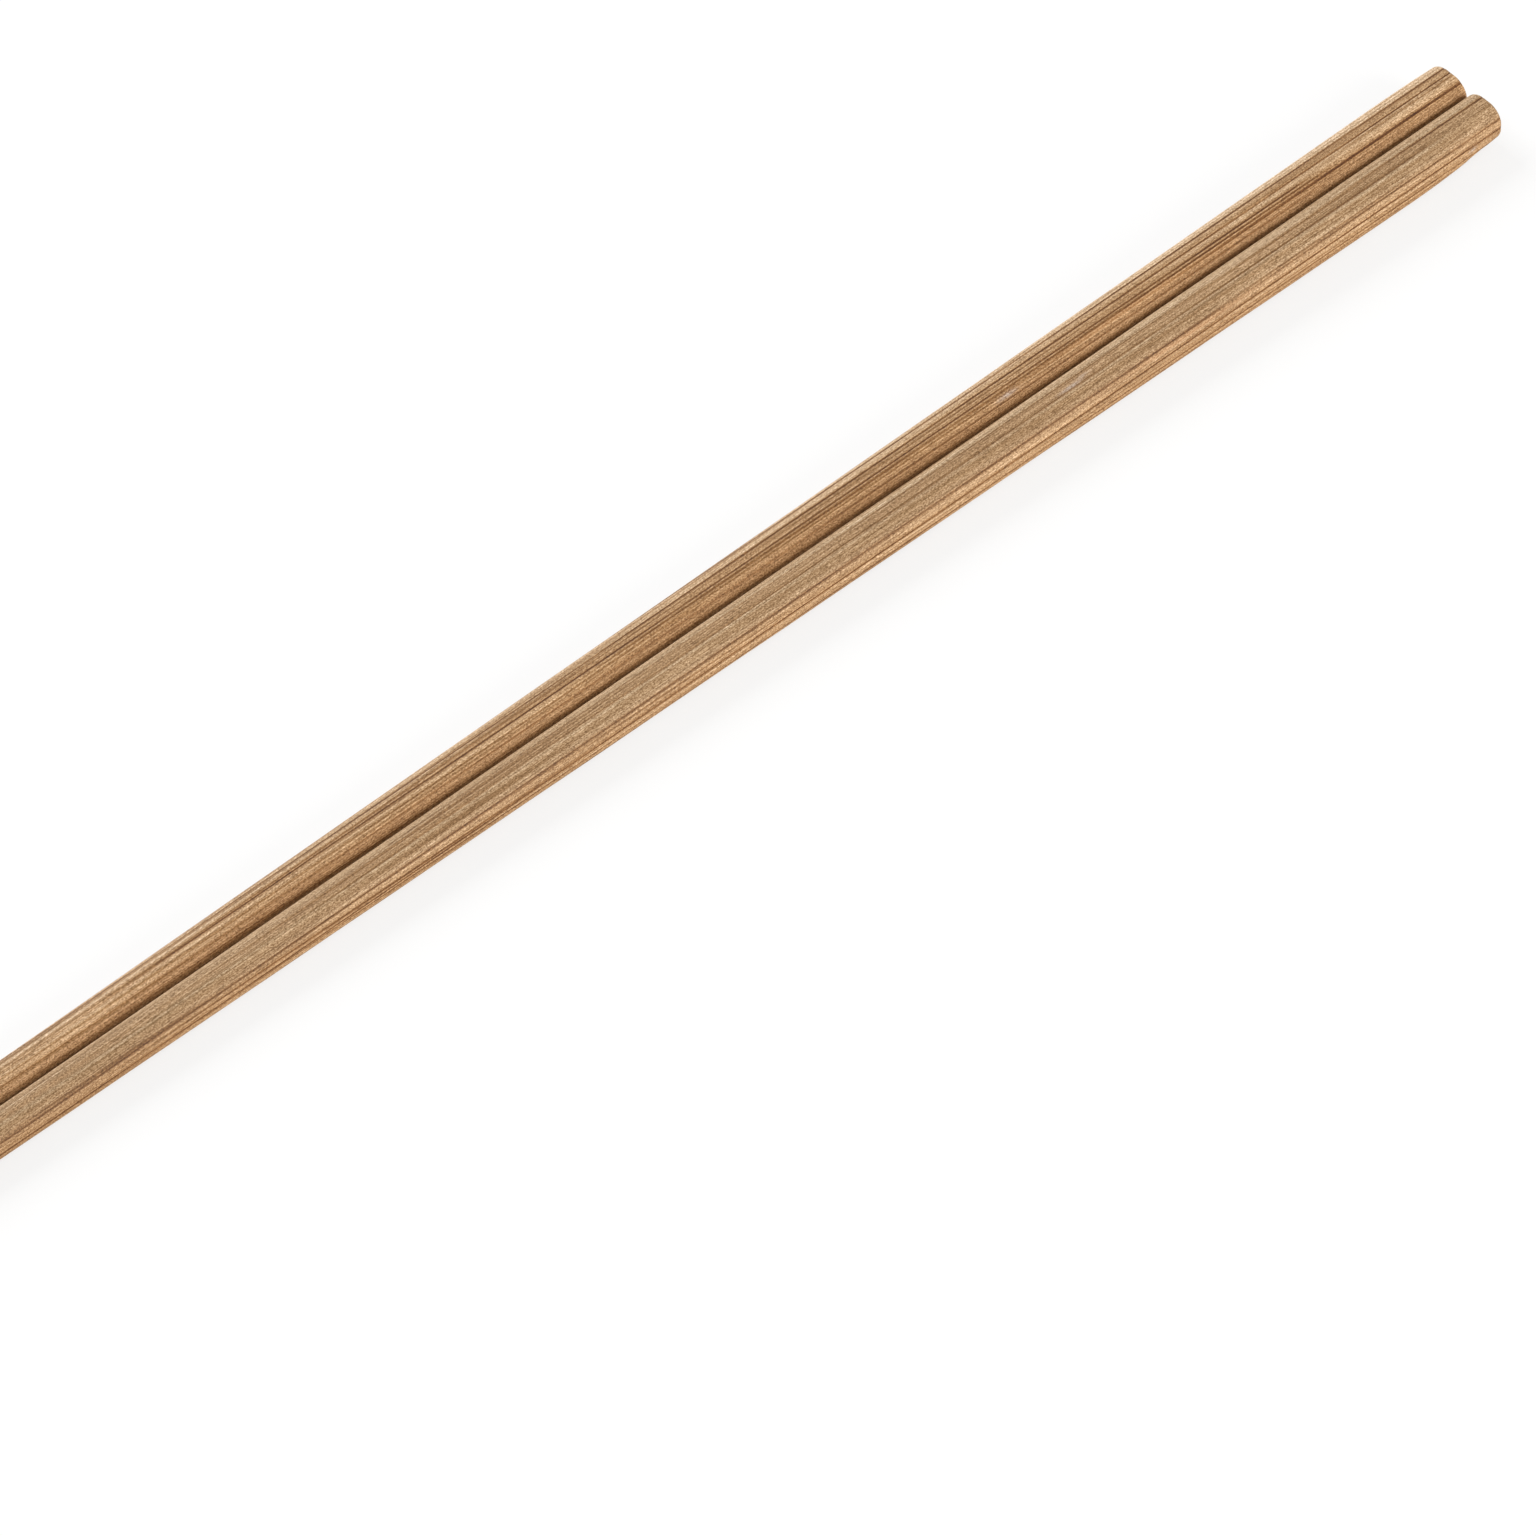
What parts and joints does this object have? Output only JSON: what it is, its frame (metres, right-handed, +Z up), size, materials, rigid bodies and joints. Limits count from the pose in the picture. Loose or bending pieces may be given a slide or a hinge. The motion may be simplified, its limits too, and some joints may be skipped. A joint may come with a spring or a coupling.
{
  "type": "bamboo chopsticks",
  "caption": "Straight tapered bamboo chopsticks lying side by side, squared with rounded corners at the head and thinner and nearly round at the blunt tip.",
  "frame": {"origin": "middle of the sticks' length and of the width across both, on the surface that they lie on", "axes": "+X along the sticks from the tips to the thick head ends, +Y from the near stick to the far stick, +Z up"},
  "size_m": [0.21, 0.0108, 0.005],
  "materials": {
    "bamboo": "bare steamed bamboo, matt, with fine dark fibre lines along the grain"
  },
  "bodies": {
    "root": {"far_stick": "bamboo", "near_stick": "bamboo"}
  },
  "joints": []
}
